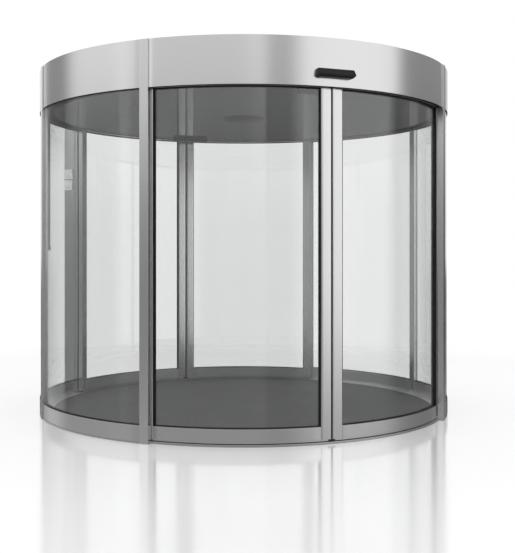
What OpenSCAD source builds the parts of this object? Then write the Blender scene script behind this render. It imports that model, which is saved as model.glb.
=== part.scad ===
// Circular sliding door: a round aluminium and glass drum that people walk through.
// Two pairs of curved leaves part along the drum and slide behind fixed side screens.
// Origin: the drum's axis at floor level. The front faces -Y. Angles are counted from
// the front, positive towards +X, so the mid posts stand at 90 degrees on either side.

/* [Drum] */
// Radius of the outer face of the header fascia
drum_r = 1500; // [1250:10:1900]
// Height from the floor to the top of the header
drum_h = 2440; // [2030:10:2950]
// Height of the fascia around the header
fascia_h = 293; // [245:1:360]
// Thickness of the fascia sheet
fascia_t = 6; // [3:0.5:10]
// Thickness of the roof cover
roof_t = 12; // [6:1:20]

/* [Posts] */
// Width of a post, along the drum
post_w = 60; // [45:1:75]
// Depth of a post, towards the drum's axis
post_d = 40; // [40:1:48]
// How far a post stands proud of the fascia
post_proud = 6; // [2:1:8]
// Angle of the corner posts from the front and from the back
corner_angle = 45; // [40:1:48]

/* [Sliding leaves] */
// Thickness of a leaf, along the radius
leaf_t = 38; // [30:1:38]
// Clearance between a leaf and the fixed parts outside it
leaf_clear = 5; // [5:0.5:8]
// Clearance under a leaf, above the floor
leaf_floor_gap = 25; // [20:1:32]
// Gap between the two leaves of a pair, which the meeting seals fill
meeting_gap = 11; // [10:1:20]
// Width of the meeting stile
meeting_stile_w = 66; // [50:1:90]
// Width of the trailing stile
trailing_stile_w = 61; // [50:1:80]
// How far the trailing edge runs past the middle of the corner post
leaf_overlap = 23; // [15:1:30]
// Height of a leaf's bottom rail
leaf_rail_h = 78; // [60:1:120]
// Height of a leaf's top rail
leaf_top_rail_h = 43; // [35:1:48]
// Thickness of all the glass
glass_t = 10; // [6:1:12]

/* [Side screens] */
// Height of a side screen's bottom rail
screen_rail_h = 96; // [70:1:140]
// Height of a side screen's head rail
screen_head_h = 40; // [25:1:50]
// Depth of a side screen's bottom rail
screen_rail_d = 34; // [26:1:34]

/* [Floor and ceiling] */
// Height of the floor ring that the posts and screens stand around
ring_h = 12; // [10:1:15]
// Width of the floor ring between the mat and the leaves' outer side
ring_w = 67; // [60:1:75]
// Thickness of the entrance mat
mat_t = 10; // [6:1:12]
// Height of the ceiling above the fascia's lower edge
ceiling_lift = 10; // [4:1:20]
// Thickness of the ceiling panel
ceiling_t = 12; // [8:1:20]
// Diameter of the round ceiling light
light_d = 300; // [200:10:600]

/* [Header running gear] */
// Radius of a leaf's running wheels
wheel_r = 22; // [16:1:26]
// Width of a running wheel
wheel_w = 20; // [14:1:22]
// Height of the track's flange above the leaf's top rail
track_lift = 46; // [40:1:60]
// Angle between a leaf's edges and its hangers
hanger_inset = 8; // [5:1:14]

/* [Fittings] */
// Width of an outside motion sensor
sensor_w = 245; // [200:5:320]
// Height of an outside motion sensor
sensor_h = 52; // [45:1:80]
// Depth of an outside motion sensor
sensor_d = 42; // [35:1:60]
// Height of an outside sensor above the fascia's lower edge
sensor_lift = 52; // [20:1:120]
// Width of an inside sensor under the ceiling
inside_sensor_w = 290; // [200:5:320]
// Depth of the switch column outside the rear left post
column_d = 86; // [84:1:110]
// Size of a square switch plate
plate_w = 80; // [60:1:82]
// Height of the upper switch plate's middle
plate_z = 1789; // [1300:1:1850]
// Gap between the two switch plates
plate_gap = 9; // [5:1:80]
// Height of the cable channel's lower end, with the release button below it
button_z = 1190; // [900:1:1400]
// Radius of the release button
button_r = 11; // [8:1:25]
// Depth of the cable channel on the left mid post
channel_d = 18; // [10:1:24]
// Width of the cable channel
channel_w = 26; // [16:1:40]

/* [Hidden] */
$fn = 180;

aluminium = [0.78, 0.79, 0.80];
dull_aluminium = [0.62, 0.63, 0.64];
clear_glass = [0.75, 0.86, 0.84, 0.35];
dark_plastic = [0.10, 0.10, 0.11];

// Heights
fascia_z = drum_h - fascia_h;
roof_z = drum_h - roof_t;
ceiling_z = fascia_z + ceiling_lift;
leaf_top_z = fascia_z + leaf_top_rail_h;
track_z = leaf_top_z + track_lift;

// Radii, from the outside in
fascia_in_r = drum_r - fascia_t;
post_in_r = drum_r + post_proud - post_d;
leaf_out_r = post_in_r - leaf_clear;
leaf_in_r = leaf_out_r - leaf_t;
ring_out_r = post_in_r + 7;
ring_in_r = ring_out_r - ring_w;
leaf_glass_r = leaf_out_r - (leaf_t - glass_t) / 2;
screen_glass_r = fascia_in_r - 1;

// Running gear: an angle ring that the wheels run on, and the hangers inside it
track_t = 8;
track_out_r = post_in_r - 0.3;
track_wall_r = track_out_r - track_t;
hanger_t = 8;
hanger_w = 50;
hanger_out_r = leaf_out_r - 35;
track_in_r = hanger_out_r + 6;
wheel_play = 0.3;

// Play where a curved piece ends against its neighbour
seat = 0.2;

// Leaf angles, counted from the middle of the pair
function span(width, radius) = width / radius * 180 / PI;
leaf_start = span(meeting_gap / 2, leaf_out_r);
leaf_end = corner_angle + span(leaf_overlap, leaf_out_r);
meeting_stile_end = leaf_start + span(meeting_stile_w, leaf_out_r);
trailing_stile_start = leaf_end - span(trailing_stile_w, leaf_out_r);
leaf_rail_start = meeting_stile_end + span(seat, leaf_out_r);
leaf_rail_end = trailing_stile_start - span(seat, leaf_out_r);

// A curved bar of rectangular section between two radii, two heights and two angles
module arc(r_in, r_out, z_low, z_high, from_angle, to_angle) {
    rotate([0, 0, from_angle - 90])
        rotate_extrude(angle = to_angle - from_angle)
            translate([r_in, z_low])
                square([r_out - r_in, z_high - z_low]);
}

// A full ring of rectangular section
module ring(r_in, r_out, z_low, z_high) {
    translate([0, 0, z_low])
        rotate_extrude()
            translate([r_in, 0])
                square([r_out - r_in, z_high - z_low]);
}

// Turns children so that their +X axis points outwards at an angle of the drum
module facing(angle) {
    rotate([0, 0, angle - 90])
        children();
}

// Moves a front right piece to one of the drum's four quarters
module quarter(left = false, rear = false) {
    mirror([left ? 1 : 0, 0, 0])
        mirror([0, rear ? 1 : 0, 0])
            children();
}

// The post's rectangular section over its full height
module post_bar(angle) {
    facing(angle)
        translate([post_in_r, -post_w / 2, 0])
            cube([post_d, post_w, drum_h]);
}

// The six posts, which pieces that fit around them are cut by
module all_posts() {
    for (side = [0, 180]) {
        post_bar(side + corner_angle);
        post_bar(side + 90);
        post_bar(side - corner_angle);
    }
}

// The space between two post centres, cut square at the posts' side faces
module between_posts(from_angle, to_angle) {
    difference() {
        children();
        for (angle = [from_angle, to_angle])
            facing(angle)
                translate([post_in_r - post_d, -post_w / 2, -1])
                    cube([3 * post_d, post_w, drum_h + 2]);
    }
}

// Flat metal ring in the floor, narrower in the two doorways
module floor_ring() {
    color(dull_aluminium)
        difference() {
            ring(ring_in_r, drum_r, 0, ring_h);
            for (side = [0, 180])
                translate([0, 0, -1])
                    arc(ring_out_r, drum_r + post_proud, 0, ring_h + 2, side - corner_angle, side + corner_angle);
            all_posts();
        }
}

// Round entrance mat inside the floor ring
module entrance_mat() {
    color([0.25, 0.25, 0.26])
        cylinder(r = ring_in_r, h = mat_t);
}

module corner_post(left, rear) {
    color(aluminium)
        quarter(left, rear)
            post_bar(corner_angle);
}

module mid_post(left) {
    color(aluminium)
        quarter(left)
            post_bar(90);
}

// Bottom and head rail of a fixed side screen
module screen_rails(left, rear) {
    color(aluminium)
        quarter(left, rear)
            between_posts(corner_angle, 90) {
                union() {
                    arc(drum_r - screen_rail_d, drum_r, ring_h, ring_h + screen_rail_h, corner_angle, 90);
                    arc(post_in_r, fascia_in_r, fascia_z, fascia_z + screen_head_h, corner_angle, 90);
                }
            }
}

// Curved pane of a fixed side screen, from rail to rail
module screen_glass(left, rear) {
    color(clear_glass)
        quarter(left, rear)
            between_posts(corner_angle, 90)
                arc(screen_glass_r - glass_t, screen_glass_r, ring_h + screen_rail_h, fascia_z,
                    corner_angle, 90);
}

// Curved sheet over the header between two posts
module fascia(from_angle, to_angle) {
    color(aluminium)
        between_posts(from_angle, to_angle)
            arc(fascia_in_r, drum_r, fascia_z, drum_h, from_angle, to_angle);
}

module side_fascia(left, rear) {
    quarter(left, rear)
        fascia(corner_angle, 90);
}

// Ceiling disc with the upstand that hides the running gear
module ceiling_panel() {
    color([0.30, 0.30, 0.31]) {
        translate([0, 0, ceiling_z])
            cylinder(r = ring_in_r, h = ceiling_t);
        ring(ring_in_r - track_t, ring_in_r, ceiling_z, roof_z);
    }
}

// Round cover over the header, notched around the posts
module roof_cover() {
    color(dull_aluminium)
        difference() {
            translate([0, 0, roof_z])
                cylinder(r = fascia_in_r, h = roof_t);
            all_posts();
        }
}

// Angle ring under the roof: its flange carries the leaves' wheels
module door_track() {
    color(dull_aluminium) {
        ring(track_wall_r, track_out_r, leaf_top_z + leaf_clear * 2, roof_z);
        ring(track_in_r, track_wall_r + track_t / 2, track_z, track_z + track_t);
    }
}

module ceiling_light() {
    light_t = 6;
    color([0.45, 0.45, 0.46])
        translate([0, 0, ceiling_z - light_t])
            cylinder(d = light_d, h = light_t);
}

// Front outline of an outside sensor: round upper corners, lower corners cut off
module sensor_outline() {
    corner_r = 9;
    cut = 13;
    half = sensor_w / 2;
    polygon([
        [-half, cut], [-half + cut, 0], [half - cut, 0], [half, cut],
        [half, sensor_h - corner_r], [-half, sensor_h - corner_r]
    ]);
    translate([-half + corner_r, sensor_h - 2 * corner_r])
        square([sensor_w - 2 * corner_r, 2 * corner_r]);
    for (side = [-1, 1])
        translate([side * (half - corner_r), sensor_h - corner_r])
            circle(r = corner_r);
}

// Side view of an outside sensor: a nose low down and a sloping upper face
module sensor_side() {
    root = 20;
    nose_z = sensor_h * 0.38;
    polygon([
        [-root, 0], [sensor_d - 14, 0], [sensor_d, nose_z - 8], [sensor_d, nose_z],
        [sensor_d - 22, sensor_h], [-root, sensor_h]
    ]);
}

// Motion sensor on the fascia, its back shaped to the drum
module outside_sensor() {
    difference() {
        translate([drum_r, 0, fascia_z + sensor_lift])
            intersection() {
                translate([-20, 0, 0])
                    rotate([90, 0, 90])
                        linear_extrude(height = sensor_d + 20)
                            sensor_outline();
                rotate([90, 0, 0])
                    linear_extrude(height = sensor_w, center = true)
                        sensor_side();
            }
        cylinder(r = drum_r + seat, h = drum_h);
    }
}

module outside_sensors() {
    color(dark_plastic)
        for (angle = [0, 180])
            facing(angle)
                outside_sensor();
}

// Flat sensor bars under the ceiling, inside both doorways
module inside_sensors() {
    bar_d = 60;
    bar_h = 25;
    inset = 137;
    color(dark_plastic)
        for (angle = [0, 180])
            facing(angle)
                translate([ring_in_r - inset, -inside_sensor_w / 2, ceiling_z - bar_h])
                    cube([bar_d, inside_sensor_w, bar_h]);
}

// Box section outside the rear left post, for the switches and their wiring
module switch_column() {
    color(aluminium)
        facing(-180 + corner_angle)
            translate([post_in_r + post_d, -post_w / 2, 0])
                cube([column_d, post_w, drum_h]);
}

// Two square plates on the column's face that looks to the front
module switch_plates() {
    plate_t = 10;
    color([0.92, 0.92, 0.91])
        facing(-180 + corner_angle)
            for (z = [plate_z, plate_z - plate_w - plate_gap])
                translate([post_in_r + post_d + (column_d - plate_w) / 2, post_w / 2, z - plate_w / 2])
                    cube([plate_w, plate_t, plate_w]);
}

// Surface channel down the left mid post to the release button
module cable_channel() {
    color([0.35, 0.36, 0.36])
        facing(-90)
            translate([post_in_r - channel_d, -channel_w / 2, button_z])
                cube([channel_d, channel_w, leaf_top_z - button_z]);
}

// Round button at the channel's lower end
module release_button() {
    button_d = channel_d + 6;
    color(dark_plastic)
        facing(-90)
            translate([post_in_r - button_d, 0, button_z - button_r])
                rotate([0, 90, 0])
                    cylinder(r = button_r, h = button_d);
}

// Hanger bracket with its wheel, at one angle of a leaf
module hanger(angle) {
    foot_w = 27;
    axle_z = track_z + track_t + wheel_play + wheel_r;
    facing(angle) {
        translate([hanger_out_r - hanger_t, -hanger_w / 2, leaf_top_z])
            cube([foot_w, hanger_w, hanger_t]);
        translate([hanger_out_r - hanger_t, -hanger_w / 2, leaf_top_z])
            cube([hanger_t, hanger_w, axle_z + wheel_r / 2 - leaf_top_z]);
        translate([hanger_out_r, 0, axle_z])
            rotate([0, 90, 0])
                cylinder(r = wheel_r, h = wheel_w);
    }
}

// The two upright stiles of a leaf
module leaf_stiles(left, rear) {
    color(aluminium)
        quarter(left, rear) {
            arc(leaf_in_r, leaf_out_r, leaf_floor_gap, leaf_top_z, leaf_start, meeting_stile_end);
            arc(leaf_in_r, leaf_out_r, leaf_floor_gap, leaf_top_z, trailing_stile_start, leaf_end);
        }
}

// Bottom rail of a leaf, and its top rail with the two hangers
module leaf_rails(left, rear) {
    color(aluminium)
        quarter(left, rear) {
            arc(leaf_in_r, leaf_out_r, leaf_floor_gap, leaf_floor_gap + leaf_rail_h,
                leaf_rail_start, leaf_rail_end);
            arc(leaf_in_r, leaf_out_r, fascia_z, leaf_top_z, leaf_rail_start, leaf_rail_end);
            hanger(leaf_start + hanger_inset);
            hanger(leaf_end - hanger_inset);
        }
}

// Curved pane of a leaf, held between its stiles and rails
module leaf_glass(left, rear) {
    color(clear_glass)
        quarter(left, rear)
            arc(leaf_glass_r - glass_t, leaf_glass_r, leaf_floor_gap + leaf_rail_h, fascia_z,
                leaf_rail_start, leaf_rail_end);
}

floor_ring();
entrance_mat();
corner_post(left = true, rear = false);  // front_left_post
corner_post(left = false, rear = false);  // front_right_post
corner_post(left = true, rear = true);  // rear_left_post
corner_post(left = false, rear = true);  // rear_right_post
mid_post(left = true);  // left_mid_post
mid_post(left = false);  // right_mid_post
screen_rails(left = true, rear = false);  // front_left_screen_rails
screen_rails(left = false, rear = false);  // front_right_screen_rails
screen_rails(left = true, rear = true);  // rear_left_screen_rails
screen_rails(left = false, rear = true);  // rear_right_screen_rails
screen_glass(left = true, rear = false);  // front_left_screen_glass
screen_glass(left = false, rear = false);  // front_right_screen_glass
screen_glass(left = true, rear = true);  // rear_left_screen_glass
screen_glass(left = false, rear = true);  // rear_right_screen_glass
fascia(-corner_angle, corner_angle);  // front_fascia
fascia(180 - corner_angle, 180 + corner_angle);  // rear_fascia
side_fascia(left = true, rear = false);  // front_left_fascia
side_fascia(left = false, rear = false);  // front_right_fascia
side_fascia(left = true, rear = true);  // rear_left_fascia
side_fascia(left = false, rear = true);  // rear_right_fascia
ceiling_panel();
roof_cover();
door_track();
ceiling_light();
outside_sensors();
inside_sensors();
switch_column();
switch_plates();
cable_channel();
release_button();
leaf_stiles(left = true, rear = false);  // front_left_leaf_stiles
leaf_rails(left = true, rear = false);  // front_left_leaf_rails
leaf_glass(left = true, rear = false);  // front_left_leaf_glass
leaf_stiles(left = false, rear = false);  // front_right_leaf_stiles
leaf_rails(left = false, rear = false);  // front_right_leaf_rails
leaf_glass(left = false, rear = false);  // front_right_leaf_glass
leaf_stiles(left = true, rear = true);  // rear_left_leaf_stiles
leaf_rails(left = true, rear = true);  // rear_left_leaf_rails
leaf_glass(left = true, rear = true);  // rear_left_leaf_glass
leaf_stiles(left = false, rear = true);  // rear_right_leaf_stiles
leaf_rails(left = false, rear = true);  // rear_right_leaf_rails
leaf_glass(left = false, rear = true);  // rear_right_leaf_glass
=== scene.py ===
import math

import bpy
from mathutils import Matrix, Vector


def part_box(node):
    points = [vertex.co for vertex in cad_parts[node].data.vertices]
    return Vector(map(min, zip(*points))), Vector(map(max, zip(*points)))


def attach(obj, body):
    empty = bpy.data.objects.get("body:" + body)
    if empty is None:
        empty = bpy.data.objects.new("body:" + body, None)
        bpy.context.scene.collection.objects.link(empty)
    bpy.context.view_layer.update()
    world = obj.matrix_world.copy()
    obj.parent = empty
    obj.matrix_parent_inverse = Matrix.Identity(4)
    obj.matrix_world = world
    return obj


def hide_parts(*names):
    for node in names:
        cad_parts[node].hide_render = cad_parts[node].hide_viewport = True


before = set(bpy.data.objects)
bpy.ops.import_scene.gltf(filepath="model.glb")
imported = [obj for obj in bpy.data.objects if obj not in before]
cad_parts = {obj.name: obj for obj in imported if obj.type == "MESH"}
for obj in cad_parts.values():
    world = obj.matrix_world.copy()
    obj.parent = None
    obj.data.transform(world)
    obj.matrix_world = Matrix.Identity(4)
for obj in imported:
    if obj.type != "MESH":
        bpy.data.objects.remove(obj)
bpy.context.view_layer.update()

# --- Camera -------------------------------------------------------------------------------------
# Stands to the left of the front doorway at chest height and looks level at the drum's axis,
# so that every upright stays upright.
camera_angle = math.radians(-21.4)
camera_distance = 6.84
camera_height = 1.165
camera_data = bpy.data.cameras.new("camera")
camera_data.sensor_width = 36
camera_data.lens = 59.05
camera_data.shift_x = 0.025
camera_data.shift_y = -0.047
camera_data.clip_end = 200
camera = bpy.data.objects.new("camera", camera_data)
camera.location = (
    camera_distance * math.sin(camera_angle),
    -camera_distance * math.cos(camera_angle),
    camera_height,
)
camera.rotation_euler = (math.radians(90), 0, camera_angle)
bpy.context.scene.collection.objects.link(camera)
bpy.context.scene.camera = camera


# --- Studio -------------------------------------------------------------------------------------
# A white room. What the metal and the glass mirror is darker low down and behind, with a wide
# soft panel on each side, so that round and flat metal show their form.
class Value:
    """A node's output socket that can be used in sums, products and powers."""

    def __init__(self, shop, socket):
        self.shop = shop
        self.socket = socket

    def _math(self, operation, first, second):
        return self.shop.node("Math", {"operation": operation}, first, second)

    def __add__(self, other):
        return self._math("ADD", self, other)

    def __radd__(self, other):
        return self._math("ADD", other, self)

    def __sub__(self, other):
        return self._math("SUBTRACT", self, other)

    def __rsub__(self, other):
        return self._math("SUBTRACT", other, self)

    def __mul__(self, other):
        return self._math("MULTIPLY", self, other)

    def __pow__(self, other):
        return self._math("POWER", self, other)


class Shop:
    """Makes and joins the nodes of one material or of the world."""

    def __init__(self, tree):
        self.tree = tree

    def node(self, kind, settings=None, *values, output=0, **named):
        made = self.tree.nodes.new("ShaderNode" + kind)
        for name, setting in (settings or {}).items():
            setattr(made, name, setting)
        for place, value in list(enumerate(values)) + list(named.items()):
            if isinstance(place, str):
                place = place.replace("_", " ")
            if isinstance(value, Value):
                self.tree.links.new(value.socket, made.inputs[place])
            elif value is not None:
                made.inputs[place].default_value = value
        return Value(self, made.outputs[output]) if made.outputs else None

    def blend(self, share, low, high):
        """A colour between two, by a share from 0 to 1."""
        made = self.tree.nodes.new("ShaderNodeMix")
        made.data_type = "RGBA"
        for place, value in ((0, share), (6, low), (7, high)):
            if isinstance(value, Value):
                self.tree.links.new(value.socket, made.inputs[place])
            else:
                made.inputs[place].default_value = value
        return Value(self, made.outputs[2])

    def smooth(self, value, start, end, low=0.0, high=1.0):
        """Rises smoothly from low to high while the value goes from start to end."""
        settings = {"interpolation_type": "SMOOTHSTEP"}
        return self.node("MapRange", settings, value, start, end, low, high)


world = bpy.data.worlds.new("white_room")
world.use_nodes = True
world.node_tree.nodes.clear()
room = Shop(world.node_tree)
direction = room.node("TexCoord")
height = room.node("SeparateXYZ", None, direction, output=2)
level = room.node("VectorMath", {"operation": "MULTIPLY"}, direction, (1, 1, 0))
level = room.node("VectorMath", {"operation": "NORMALIZE"}, level)


def panel(angle, half_width, softness):
    """How much of a soft panel at an angle round the drum is met in this direction."""
    turn = math.radians(angle)
    toward = (math.sin(turn), -math.cos(turn), 0)
    facing = room.node("VectorMath", {"operation": "DOT_PRODUCT"}, level, toward, output=1)
    outer = math.cos(math.radians(min(half_width + softness, 180)))
    inner = math.cos(math.radians(max(half_width - softness, 0)))
    return room.smooth(facing, outer, inner)


left_panel = panel(-107, 21, 8)
front_panel = panel(-50, 40.5, 1.5)
middle_fill = panel(-4, 12, 6)
right_panel = panel(38.5, 28, 8.5)
backdrop = panel(164, 32, 8)
rear_left_panel = panel(212, 12, 3)
edge_glint = panel(194.0, 0.9, 0.3)
upward = room.smooth(height, 0.01, 0.20, 0.25, 1.0)
above_ankle = room.smooth(height, -0.17, -0.075, 0.10, 1.0)
above_floor = room.smooth(height, -0.04, 0.0)
below_header = room.smooth(height, 0.07, 0.13, 1.0, 0.0)
near_floor = room.smooth(height, -0.19, -0.10, 0.17, 0.0) * (1 - backdrop * 0.85)
around = 0.30 + left_panel * 0.60 + front_panel * 0.46 + middle_fill * 0.20
behind = backdrop * above_floor * 0.70 + rear_left_panel * below_header * 0.40 + edge_glint * 0.9
room_tone = around * upward + near_floor + right_panel * above_ankle * 1.02 + behind
mirrored = room.node("Background", None, room.blend(room_tone, (0, 0, 0, 1), (1, 1, 1, 1)), 1.0)
white = room.node("Background", None, (1, 1, 1, 1), 1.0)
is_mirror_ray = room.node("LightPath", None, output=3)
seen = room.node("MixShader", None, is_mirror_ray, white, mirrored)
room.node("OutputWorld", None, seen)
bpy.context.scene.world = world
bpy.context.scene.view_settings.view_transform = "Standard"
bpy.context.scene.cycles.transparent_max_bounces = 48  # the view passes through up to four panes


def piece_from(mesh_object, name):
    """Names a finished piece and puts its place in its mesh."""
    mesh_object.name = name
    mesh_object.data.name = name
    bpy.ops.object.select_all(action="DESELECT")
    mesh_object.select_set(True)
    bpy.context.view_layer.objects.active = mesh_object
    bpy.ops.object.transform_apply(location=True, rotation=True, scale=True)
    return mesh_object


def painted(mesh_object, material):
    mesh_object.data.materials.clear()
    mesh_object.data.materials.append(material)
    return mesh_object


def finish(name, **sockets):
    """A new material: its node maker and its main shader, with plain values set on it."""
    material = bpy.data.materials.new(name)
    material.use_nodes = True
    shop = Shop(material.node_tree)
    shader = material.node_tree.nodes["Principled BSDF"]
    for socket, value in sockets.items():
        shader.inputs[socket.replace("_", " ")].default_value = value
    shop.material = material
    shop.shader = shader
    return shop


def feed(shop, **sockets):
    """Joins values that vary over the surface to the main shader."""
    for socket, value in sockets.items():
        shop.tree.links.new(value.socket, shop.shader.inputs[socket.replace("_", " ")])
    return shop.material


# The floor is smooth and white, mirrors the drum softly and fades into the white room.
floor_half = 40
floor_drop = 0.001
fade_start = 3.4
fade_end = 4.8
studio_floor = finish(
    "studio_floor",
    Emission_Color=(1, 1, 1, 1),
    Emission_Strength=0.09,
    IOR=1.8,
    Coat_Weight=0.8,
    Coat_Roughness=0.12,
)
place = studio_floor.node("TexCoord", None, output=3)
clouds = studio_floor.node("TexNoise", None, Vector=place, Scale=0.7, Detail=3)
feed(
    studio_floor,
    Base_Color=studio_floor.blend(clouds, (0.96, 0.96, 0.96, 1), (0.98, 0.98, 0.98, 1)),
    Roughness=0.10 + clouds * 0.05,
)
reach = studio_floor.node("VectorMath", {"operation": "LENGTH"}, place, output=1)
far_away = studio_floor.smooth(reach, fade_start, fade_end)
plain_white = studio_floor.node("Emission", None, (1, 1, 1, 1), 1.0)
lit_floor = Value(studio_floor, studio_floor.shader.outputs[0])
faded = studio_floor.node("MixShader", None, far_away, lit_floor, plain_white)
studio_floor.tree.links.new(faded.socket, studio_floor.tree.nodes["Material Output"].inputs[0])
bpy.ops.mesh.primitive_plane_add(size=2 * floor_half, location=(0, 0, -floor_drop))
floor = painted(piece_from(bpy.context.object, "floor"), studio_floor.material)
floor.visible_glossy = False

# --- Header sheets ------------------------------------------------------------------------------
# Six curved sheets of aluminium between the posts, brushed round the drum. Each is rolled to the
# drum's radius and its edges are broken, so that they catch a thin line of light.
drum = "drum"
quarters = ("front_left", "front_right", "rear_left", "rear_right")
edge_break = 0.0012


def in_edit_mode(mesh_object, *steps):
    """Runs edit-mode steps on a whole mesh."""
    bpy.ops.object.select_all(action="DESELECT")
    mesh_object.select_set(True)
    bpy.context.view_layer.objects.active = mesh_object
    bpy.ops.object.mode_set(mode="EDIT")
    bpy.ops.mesh.select_all(action="SELECT")
    for step in steps:
        step()
    bpy.ops.object.mode_set(mode="OBJECT")


def broken_edges(node, name, material, body=drum, width=edge_break, segments=2):
    """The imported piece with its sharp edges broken, which then stands for it."""
    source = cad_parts[node]
    copy = bpy.data.objects.new(name, source.data.copy())
    bpy.context.scene.collection.objects.link(copy)
    in_edit_mode(
        copy,
        lambda: bpy.ops.mesh.remove_doubles(threshold=0.00002),
        lambda: bpy.ops.mesh.dissolve_limited(angle_limit=math.radians(0.05)),
    )
    bevel = copy.modifiers.new("broken_edges", "BEVEL")
    bevel.width = width
    bevel.segments = segments
    bevel.limit_method = "ANGLE"
    bevel.angle_limit = math.radians(30)
    bpy.ops.object.modifier_apply(modifier=bevel.name)
    bpy.ops.object.shade_smooth_by_angle(angle=math.radians(25))
    painted(copy, material)
    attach(copy, body)
    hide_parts(node)
    return copy


def brushed_aluminium(name, along, grey, rough, contrast=0.03):
    """Anodised aluminium with fine brushing: along stretches the brushing on X, Y and Z."""
    shop = finish(name, Metallic=1.0)
    place = shop.node("TexCoord", None, output=3)
    stretched = shop.node("Mapping", None, place, Scale=along)
    lines = shop.node("TexNoise", None, Vector=stretched, Scale=1.0, Detail=5, Roughness=0.6)
    clouds = shop.node("TexNoise", None, Vector=place, Scale=1.7, Detail=2)
    tone = lines * 0.6 + clouds * 0.4
    dark = [grey * (1 - contrast)] * 2 + [grey * (1 - contrast) + 0.003, 1]
    light = [grey * (1 + contrast)] * 3 + [1]
    return feed(
        shop,
        Base_Color=shop.blend(tone, dark, light),
        Roughness=rough + (lines - 0.5) * 0.08,
        Normal=shop.node("Bump", None, 0.02, 0.0003, Height=lines),
    )


round_the_drum = (4, 4, 700)
up_the_bar = (500, 500, 3)
header_sheet = brushed_aluminium("header_sheet", round_the_drum, 0.77, 0.22)
for side in ("front", "rear") + quarters:
    broken_edges(side + "_fascia", side + "_header_sheet", header_sheet)

# --- Posts --------------------------------------------------------------------------------------
# Six full-height aluminium box sections, satin anodised and drawn lengthwise. They stand on the
# floor ring, carry the header and stand a little proud of its sheets.
satin_bar = brushed_aluminium("satin_bar", up_the_bar, 0.79, 0.23)
for side in quarters + ("left_mid", "right_mid"):
    broken_edges(side + "_post", side + "_post_section", satin_bar)

# --- Side screens -------------------------------------------------------------------------------
# Fixed curved panes of clear float glass in a deep bottom rail and a head rail. On both faces
# black rubber gaskets hold a pane along the rails, and satin beads hold its upright edges.
satin_rail = brushed_aluminium("satin_rail", round_the_drum, 0.73, 0.30)


def clear_glass():
    """Clear float glass: hardly tinted, and it mirrors most where it is seen along its surface."""
    shop = finish("clear_glass", Metallic=1.0)
    place = shop.node("TexCoord", None, output=3)
    film = shop.node("TexNoise", None, Vector=place, Scale=2.0, Detail=3)
    feed(
        shop,
        Base_Color=shop.blend(film, (0.94, 0.95, 0.95, 1), (0.97, 0.98, 0.98, 1)),
        Roughness=film * 0.01,
    )
    through = shop.node("BsdfTransparent", None, (0.970, 0.973, 0.972, 1))
    mirror = Value(shop, shop.shader.outputs[0])
    edge_on = shop.node("LayerWeight", None, 0.5, output=1)
    mirror_share = 0.075 + film * 0.01 + edge_on**5 * 0.85
    surface = shop.node("MixShader", None, mirror_share, through, mirror)
    shop.tree.links.new(surface.socket, shop.tree.nodes["Material Output"].inputs[0])
    return shop.material


def rubber(name, low, high, rough, shine=0.5):
    """Moulded rubber or plastic: dull, with a slightly cloudy skin."""
    shop = finish(name, Specular_IOR_Level=shine)
    place = shop.node("TexCoord", None, output=3)
    clouds = shop.node("TexNoise", None, Vector=place, Scale=9, Detail=4)
    grain = shop.node("TexNoise", None, Vector=place, Scale=900, Detail=2)
    return feed(
        shop,
        Base_Color=shop.blend(clouds, (low, low, low * 1.03, 1), (high, high, high * 1.03, 1)),
        Roughness=rough + clouds * 0.12,
        Normal=shop.node("Bump", None, 0.12, 0.0003, Height=grain),
    )


def round_extent(node):
    """A curved node's radii, heights and angles: inner, outer, low, high, first, last."""
    places = [v.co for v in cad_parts[node].data.vertices]
    radii = [place.xy.length for place in places]
    middle = math.atan2(sum(p.x for p in places), -sum(p.y for p in places))
    turned = [(math.atan2(p.x, -p.y) - middle + 3 * math.pi) % (2 * math.pi) for p in places]
    heights = [place.z for place in places]
    angles = [math.degrees(t - math.pi + middle) for t in turned]
    return min(radii), max(radii), min(heights), max(heights), min(angles), max(angles)


def curved_bar(r_in, r_out, z_low, z_high, first, last):
    """A square bar bent round the drum: its section is drawn at one end and spun to the other."""
    turn = math.radians(first - 90)
    middle = (r_in + r_out) / 2
    bpy.ops.object.select_all(action="DESELECT")
    bpy.ops.mesh.primitive_plane_add(
        size=1,
        location=(middle * math.cos(turn), middle * math.sin(turn), (z_low + z_high) / 2),
        rotation=(math.radians(90), 0, turn),
    )
    bar = bpy.context.object
    bar.scale = (r_out - r_in, z_high - z_low, 1)
    bpy.ops.object.transform_apply(location=True, rotation=True, scale=True)
    steps = max(1, round((last - first) / 1.2))
    sweep = math.radians(last - first)
    in_edit_mode(
        bar,
        lambda: bpy.ops.mesh.spin(steps=steps, angle=sweep, center=(0, 0, 0), axis=(0, 0, -1)),
        lambda: bpy.ops.mesh.select_all(action="SELECT"),
        lambda: bpy.ops.mesh.remove_doubles(threshold=0.00001),
        lambda: bpy.ops.mesh.normals_make_consistent(inside=False),
    )
    return bar


def rounded(mesh_object, width, segments=2, angle=30):
    """Rounds the sharp edges and shades the rest smoothly."""
    bpy.ops.object.select_all(action="DESELECT")
    mesh_object.select_set(True)
    bpy.context.view_layer.objects.active = mesh_object
    bevel = mesh_object.modifiers.new("rounded", "BEVEL")
    bevel.width = width
    bevel.segments = segments
    bevel.limit_method = "ANGLE"
    bevel.angle_limit = math.radians(angle)
    bpy.ops.object.modifier_apply(modifier=bevel.name)
    bpy.ops.object.shade_smooth_by_angle(angle=math.radians(25))
    return mesh_object


def one_piece(parts, name, material, body):
    """Joins finished parts into one named piece that rides on a body."""
    bpy.ops.object.select_all(action="DESELECT")
    for part in parts:
        part.select_set(True)
    bpy.context.view_layer.objects.active = parts[0]
    if len(parts) > 1:
        bpy.ops.object.join()
    piece = piece_from(bpy.context.view_layer.objects.active, name)
    painted(piece, material)
    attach(piece, body)
    return piece


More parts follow.
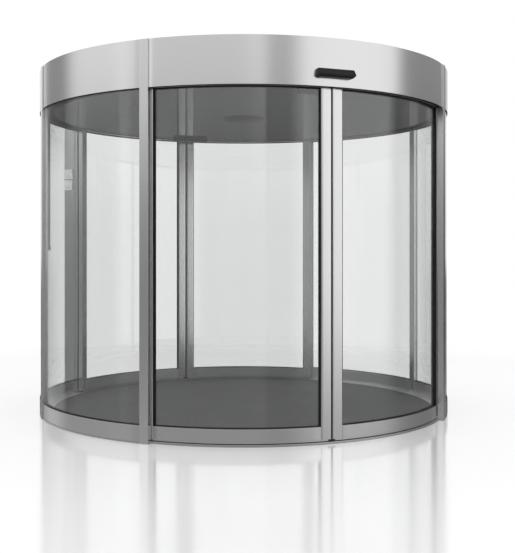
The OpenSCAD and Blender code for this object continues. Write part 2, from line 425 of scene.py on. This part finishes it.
gasket_rubber = rubber("gasket_rubber", 0.003, 0.006, 0.70)
gasket_width = 0.0042
gasket_recess = 0.0015
gasket_round = 0.0006


def pane_border(pane, rails):
    """Strips round a pane, on its outside and inside: those along the rails, and the uprights."""
    glass_in, glass_out, low, high, first, last = round_extent(pane)
    frame_in, frame_out = round_extent(rails)[:2]
    side = math.degrees(gasket_width / glass_out)
    faces = ((glass_out, frame_out - gasket_recess), (frame_in + gasket_recess, glass_in))
    along_rails, uprights = [], []
    for r_in, r_out in faces:
        between = (first + side, last - side)
        along_rails.append(curved_bar(r_in, r_out, low, low + gasket_width, *between))
        along_rails.append(curved_bar(r_in, r_out, high - gasket_width, high, *between))
        uprights.append(curved_bar(r_in, r_out, low, high, first, first + side))
        uprights.append(curved_bar(r_in, r_out, low, high, last - side, last))
    for strip in along_rails + uprights:
        rounded(strip, gasket_round, 1)
    return along_rails, uprights


glass = clear_glass()
for side in quarters:
    along_rails, uprights = pane_border(side + "_screen_glass", side + "_screen_rails")
    one_piece(along_rails, side + "_screen_gaskets", gasket_rubber, drum)
    one_piece(uprights, side + "_screen_beads", satin_bar, drum)
    broken_edges(side + "_screen_rails", side + "_screen_rail_pair", satin_rail)
    painted(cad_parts[side + "_screen_glass"], glass)

# --- Floor ring and mat -------------------------------------------------------------------------
# A flat aluminium ring screwed to the floor, and inside it a round carpet of dark looped yarn
# with a rolled edge.
floor_metal = brushed_aluminium("floor_metal", round_the_drum, 0.58, 0.36)
broken_edges("floor_ring", "floor_ring_bar", floor_metal)


def carpet():
    """Looped entrance carpet: dull and grainy, with darker yarn here and there."""
    shop = finish("carpet", Specular_IOR_Level=0.15)
    place = shop.node("TexCoord", None, output=3)
    loops = shop.node("TexVoronoi", None, Vector=place, Scale=230)
    grain = shop.node("TexNoise", None, Vector=place, Scale=520, Detail=2)
    tufts = shop.node("TexNoise", None, Vector=place, Scale=75, Detail=3)
    wear = shop.node("TexNoise", None, Vector=place, Scale=3, Detail=4)
    tone = loops * 0.25 + grain * 0.25 + tufts * 0.9 + wear * 0.3 - 0.32
    return feed(
        shop,
        Base_Color=shop.blend(tone, (0.075, 0.075, 0.079, 1), (0.21, 0.21, 0.217, 1)),
        Roughness=0.85 + grain * 0.15,
        Normal=shop.node("Bump", None, 0.5, 0.0015, Height=loops + grain),
    )


broken_edges("entrance_mat", "entrance_carpet", carpet(), width=0.004, segments=4)

# --- Ceiling ------------------------------------------------------------------------------------
# A round panel with a dark gloss face that mirrors the doorway, a flat round light that is off,
# and black brush strips that close the slots on both sides of the leaves.


def lacquer(name, low, high, rough):
    """Smooth paint or acrylic: an even gloss with a faint cloudiness."""
    shop = finish(name, IOR=1.3)
    place = shop.node("TexCoord", None, output=3)
    clouds = shop.node("TexNoise", None, Vector=place, Scale=1.4, Detail=3)
    return feed(
        shop,
        Base_Color=shop.blend(clouds, (low, low, low * 1.02, 1), (high, high, high * 1.02, 1)),
        Roughness=rough + clouds * 0.03,
    )


ceiling_gloss = lacquer("ceiling_gloss", 0.020, 0.025, 0.04)
painted(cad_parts["ceiling_panel"], ceiling_gloss)
light_cover = lacquer("light_cover", 0.016, 0.020, 0.50)
broken_edges(
    "ceiling_light", "ceiling_light_cover", light_cover, width=0.004, segments=4
)
bristle = rubber("bristle", 0.003, 0.007, 0.85)
ceiling_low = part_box("ceiling_panel")[0].z
ceiling_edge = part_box("ceiling_panel")[1].x
leaf_in, leaf_out = round_extent("front_left_leaf_stiles")[:2]
brush_seat = 0.004
brush_play = 0.002
slot_brush_drop = 0.003
slot_space = (ceiling_edge - brush_seat, leaf_in - brush_play, ceiling_low - slot_brush_drop, ceiling_low)
slot_brushes = [curved_bar(*slot_space, 0, 180), curved_bar(*slot_space, 180, 360)]
one_piece(slot_brushes, "ceiling_slot_brush", bristle, drum)
header_in, _, header_low = round_extent("front_fascia")[:3]
header_play = 0.0015
header_brush_height = 0.006
half_doorway = 43.8
brush_low = header_low + 0.001
doorway = (leaf_out + header_play, header_in, brush_low, brush_low + header_brush_height)
doorway_brushes = []
for middle in (0, 180):
    doorway_brushes.append(curved_bar(*doorway, middle - half_doorway, middle + half_doorway))
one_piece(doorway_brushes, "header_brushes", bristle, drum)

# --- Roof and running gear ----------------------------------------------------------------------
# The header is closed by six painted sheets round a middle plate, laid with narrow joints on a
# base sheet. A rim between the posts clamps them with pan-head screws. The track is painted
# near-black as painted shade, which keeps the slot above the leaves dark.
header_paint = lacquer("header_paint", 0.30, 0.34, 0.42)
roof_low, roof_top = (corner.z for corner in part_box("roof_cover"))
roof_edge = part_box("roof_cover")[1].x
post_face = leaf_out + 0.0045
joint = 0.12
plate_edge = 0.30
post_angles = (-45, 45, 90, 135, 225, 270, 315)
post_clearance = 1.3
base_sheet = 0.004
sheet_drop = 0.003
plate_thick = 0.005
sheet_gap = 0.003
rim_gap = 0.002
screw_radius = 0.006
screw_height = 0.0015
sheet_round = 0.001


def disc(radius, low, high, vertices, x=0, y=0):
    """A round flat plate between two heights."""
    bpy.ops.object.select_all(action="DESELECT")
    bpy.ops.mesh.primitive_cylinder_add(
        vertices=vertices, radius=radius, depth=high - low, location=(x, y, (low + high) / 2)
    )
    return bpy.context.object


roof_parts = [
    disc(post_face - rim_gap, roof_low, roof_low + base_sheet, 192),
    rounded(
        disc(plate_edge, roof_top - sheet_drop - plate_thick, roof_top - sheet_drop, 96),
        sheet_round,
        1,
    ),
]
for number in range(6):
    first = number * 60 + joint
    last = first + 60 - 2 * joint
    across = (plate_edge + sheet_gap, post_face - rim_gap)
    sheet = curved_bar(*across, roof_low + base_sheet, roof_top - sheet_drop, first, last)
    roof_parts.append(rounded(sheet, sheet_round, 1))
for first, last in zip(post_angles, post_angles[1:]):
    first, last = first + post_clearance, last - post_clearance
    rim = curved_bar(
        post_face, roof_edge - sheet_round, roof_low, roof_top - sheet_round, first, last
    )
    roof_parts.append(rounded(rim, sheet_round, 1))
for number in range(36):
    turn = math.radians(number * 10 + 2.5)
    reach = (post_face + roof_edge) / 2
    spot = (reach * math.sin(turn), -reach * math.cos(turn))
    screw = disc(screw_radius, roof_top - screw_height, roof_top, 16, *spot)
    roof_parts.append(rounded(screw, 0.0006, 2))
roof = one_piece(roof_parts, "roof_sheets", header_paint, drum)
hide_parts("roof_cover")
# The near-black track paint is painted shade for the slot above the leaves, not the track's own colour.
track_painted_shade = lacquer("track_painted_shade", 0.030, 0.040, 0.50)
broken_edges("door_track", "painted_track", track_painted_shade)

# --- Sliding leaves -----------------------------------------------------------------------------
# Each leaf is a curved pane in a frame of two stiles and two rails. Rubber gaskets hold the pane,
# a brush closes the gap to the floor, and a rubber nose with a guide foot runs up the meeting
# stile.
meeting_rubber = rubber("meeting_rubber", 0.020, 0.030, 0.60)
nose_depth = 0.0052
nose_half_width = 0.010
foot_length = 0.012
foot_height = 0.011
foot_play = 0.003
brush_half_width = 0.006
carrier_height = 0.009
brush_length = 0.0032
web_thickness = 0.00015


def edge_webs(pane):
    """Thin rubber between the pane's upright edges and the stiles, joined to the gaskets."""
    glass_in, glass_out, low, high, first, last = round_extent(pane)
    web = math.degrees(web_thickness / glass_out)
    return [
        curved_bar(glass_in, glass_out, low, high, first - 1.1 * web, first - 0.1 * web),
        curved_bar(glass_in, glass_out, low, high, last + 0.1 * web, last + 1.1 * web),
    ]


for side in quarters:
    body = side + "_leaf"
    along_rails, uprights = pane_border(body + "_glass", body + "_stiles")
    strips = along_rails + uprights + edge_webs(body + "_glass")
    one_piece(strips, body + "_gaskets", gasket_rubber, body)
    r_in, r_out, low, high, first, last = round_extent(body + "_stiles")
    middle = (r_in + r_out) / 2
    carrier_low = low - carrier_height
    width = (middle - brush_half_width, middle + brush_half_width)
    brush = curved_bar(*width, carrier_low - brush_length, carrier_low, first + 0.1, last - 0.1)
    one_piece([rounded(brush, 0.0005, 1)], body + "_floor_brush", bristle, body)
    carrier = curved_bar(r_in + 0.002, r_out - 0.001, carrier_low, low, first + 0.7, last - 0.7)
    one_piece([rounded(carrier, 0.0008, 1)], body + "_brush_carrier", satin_rail, body)
    meets_last = abs(math.sin(math.radians(last))) < abs(math.sin(math.radians(first)))
    edge = last if meets_last else first
    out = 1 if meets_last else -1
    nose_end = edge + out * math.degrees(nose_depth / r_out)
    foot_end = edge - out * math.degrees(foot_length / r_out)
    width = (middle - nose_half_width, middle + nose_half_width)
    nose = curved_bar(*width, low, high, min(edge, nose_end), max(edge, nose_end))
    width = (r_in + foot_play, r_out - foot_play)
    span = (min(foot_end, nose_end), max(foot_end, nose_end))
    foot = curved_bar(*width, low - foot_height, low, *span)
    parts = [rounded(nose, 0.002, 2), rounded(foot, 0.002, 2)]
    one_piece(parts, body + "_meeting_seal", meeting_rubber, body)
    broken_edges(body + "_stiles", body + "_stile_pair", satin_bar, body)
    broken_edges(body + "_rails", body + "_rail_pair", satin_rail, body)
    painted(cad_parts[body + "_glass"], glass)

# --- Motion sensors -----------------------------------------------------------------------------
# Two black moulded cases on the header, each with a smooth dark window in its lower face, and a
# flat case under the ceiling inside each doorway.
black_plastic = rubber("black_plastic", 0.006, 0.009, 0.34, shine=0.28)
window_gloss = lacquer("window_gloss", 0.004, 0.006, 0.08)
broken_edges(
    "outside_sensors", "outside_sensor_cases", black_plastic, width=0.0015, segments=3
)
sensor_low, sensor_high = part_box("outside_sensors")
window_sink = 0.0012
window_lift = 0.0158
window_size = (sensor_high.x * 1.78, 0.002, 0.0065)
window_reach = sensor_high.y - window_sink
windows = []
for reach in (-window_reach, window_reach):
    bpy.ops.object.select_all(action="DESELECT")
    bpy.ops.mesh.primitive_cube_add(size=1, location=(0, reach, sensor_low.z + window_lift))
    pane = bpy.context.object
    pane.scale = window_size
    bpy.ops.object.transform_apply(location=True, rotation=True, scale=True)
    windows.append(rounded(pane, 0.0006, 2))
one_piece(windows, "sensor_windows", window_gloss, drum)
broken_edges("inside_sensors", "inside_sensor_cases", black_plastic, width=0.002)

# --- Switch column ------------------------------------------------------------------------------
# A box section outside the rear left post, with two square plates. Each plate has a raised frame
# line and a curved rib under the finger, and a dark shadow gap behind it.
broken_edges("switch_column", "switch_column_section", satin_bar)
pale_plastic = rubber("pale_plastic", 0.93, 0.97, 0.30)
rib_grey = rubber("rib_grey", 0.20, 0.26, 0.40)
broken_edges("switch_plates", "switch_plate_pair", pale_plastic, width=0.0025, segments=3)
plate_low, plate_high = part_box("switch_plates")
column_angle = math.radians(-135)
outwards = (math.sin(column_angle), -math.cos(column_angle))
towards_front = (-outwards[1], outwards[0])
corners = [v.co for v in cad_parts["switch_plates"].data.vertices]
plate_reach = [c.x * outwards[0] + c.y * outwards[1] for c in corners]
plate_face = max(c.x * towards_front[0] + c.y * towards_front[1] for c in corners)
plate_middle = (max(plate_reach) + min(plate_reach)) / 2
plate_size = max(plate_reach) - min(plate_reach)
rib_x = plate_middle * outwards[0] + plate_face * towards_front[0]
rib_y = plate_middle * outwards[1] + plate_face * towards_front[1]
rib_radius = 0.016
rib_thick = 0.0016
rib_sweep = math.radians(-140)
below_middle = 0.008
ribs = []
for plate_z in (plate_high.z - plate_size / 2, plate_low.z + plate_size / 2):
    bpy.ops.object.select_all(action="DESELECT")
    bpy.ops.mesh.primitive_circle_add(vertices=8, radius=rib_thick, location=(rib_radius, 0, 0))
    rib = bpy.context.object
    bpy.ops.object.transform_apply(location=True, rotation=True, scale=True)
    in_edit_mode(
        rib,
        lambda: bpy.ops.mesh.edge_face_add(),
        lambda: bpy.ops.mesh.spin(steps=24, angle=rib_sweep, center=(0, 0, 0), axis=(0, 1, 0)),
        lambda: bpy.ops.mesh.select_all(action="SELECT"),
        lambda: bpy.ops.mesh.remove_doubles(threshold=0.00001),
        lambda: bpy.ops.mesh.normals_make_consistent(inside=False),
    )
    rib.rotation_euler = (0, math.radians(20), math.radians(135))
    rib.location = (rib_x, rib_y, plate_z - below_middle)
    bpy.ops.object.transform_apply(location=True, rotation=True, scale=True)
    ribs.append(rounded(rib, 0.0003, 1, angle=60))
one_piece(ribs, "switch_plate_ribs", rib_grey, drum)

# --- Release button -----------------------------------------------------------------------------
# A painted channel down the inside of the left mid post brings the wires of a small button, which
# has a bright turned ring round a black cap.
channel_paint = rubber("channel_paint", 0.030, 0.040, 0.45, shine=0.3)
broken_edges(
    "cable_channel", "cable_channel_cover", channel_paint, width=0.003, segments=3
)
broken_edges(
    "release_button", "release_button_cap", black_plastic, width=0.002, segments=3
)
button_low, button_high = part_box("release_button")
button_radius = (button_high.z - button_low.z) / 2
ring_thick = 0.0028
ring_play = 0.0005
ring_sink = 0.004
bpy.ops.object.select_all(action="DESELECT")
bpy.ops.mesh.primitive_torus_add(
    major_radius=button_radius + ring_play,
    minor_radius=ring_thick,
    major_segments=48,
    minor_segments=12,
    location=(button_high.x - ring_sink, 0, (button_high.z + button_low.z) / 2),
    rotation=(0, math.radians(90), 0),
)
bpy.ops.object.shade_smooth()
turned_ring = brushed_aluminium("turned_ring", (300, 300, 300), 0.80, 0.20)
one_piece([bpy.context.object], "release_button_ring", turned_ring, drum)
